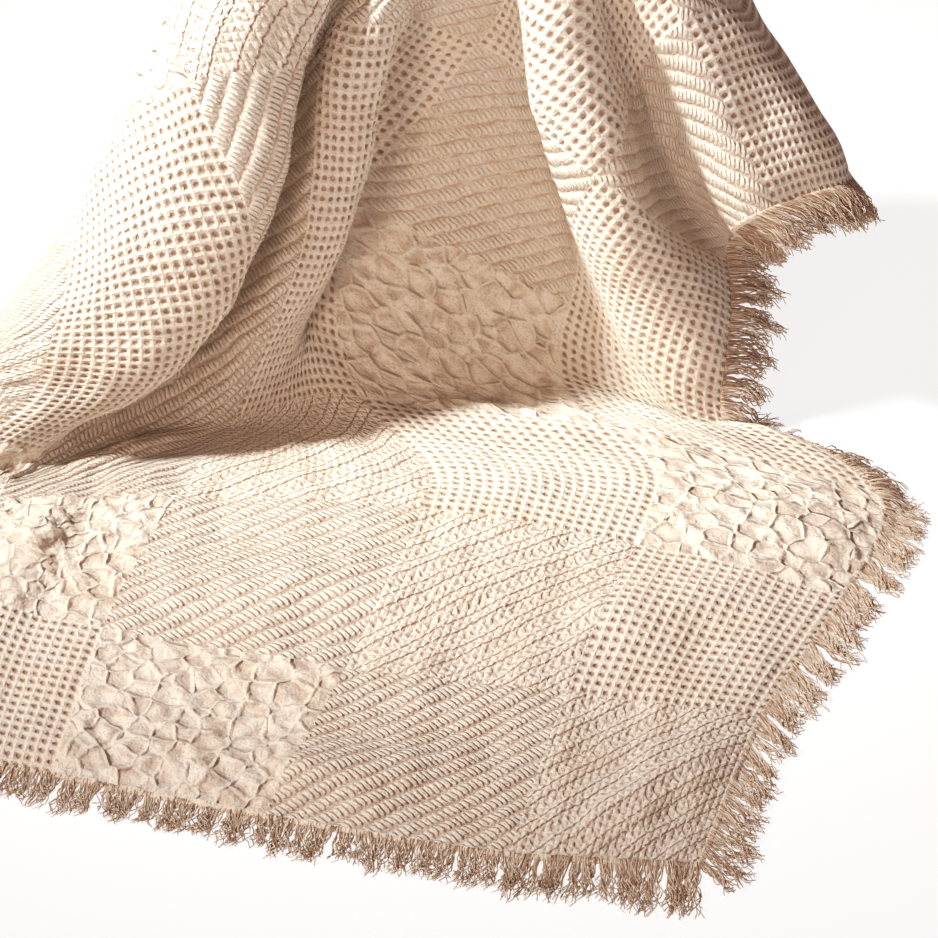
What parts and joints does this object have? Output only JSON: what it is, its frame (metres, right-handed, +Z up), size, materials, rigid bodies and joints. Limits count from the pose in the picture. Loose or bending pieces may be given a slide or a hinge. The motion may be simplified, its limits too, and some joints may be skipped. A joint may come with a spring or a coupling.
{
  "type": "fringed throw blanket",
  "caption": "Soft cream cotton throw in woven texture squares with a self fringe on all edges, hanging from one gathered point and spreading in folds over the floor.",
  "frame": {"origin": "a point on the floor, on the flat underside of the cloth near the middle of the part that lies down", "axes": "+Z up, +X to the right seen from the front, -Y towards the viewer and the front hem; the gathered point the throw hangs from is behind and above the origin"},
  "size_m": [1.3078, 0.9523, 0.5823],
  "materials": {
    "throw_weave": "matt woven cotton",
    "fringe_yarn": "matt cotton yarn"
  },
  "bodies": {
    "root": {"throw_cloth": "throw_weave", "fringe_front": "fringe_yarn", "fringe_back": "fringe_yarn", "fringe_left": "fringe_yarn", "fringe_right": "fringe_yarn"}
  },
  "joints": []
}
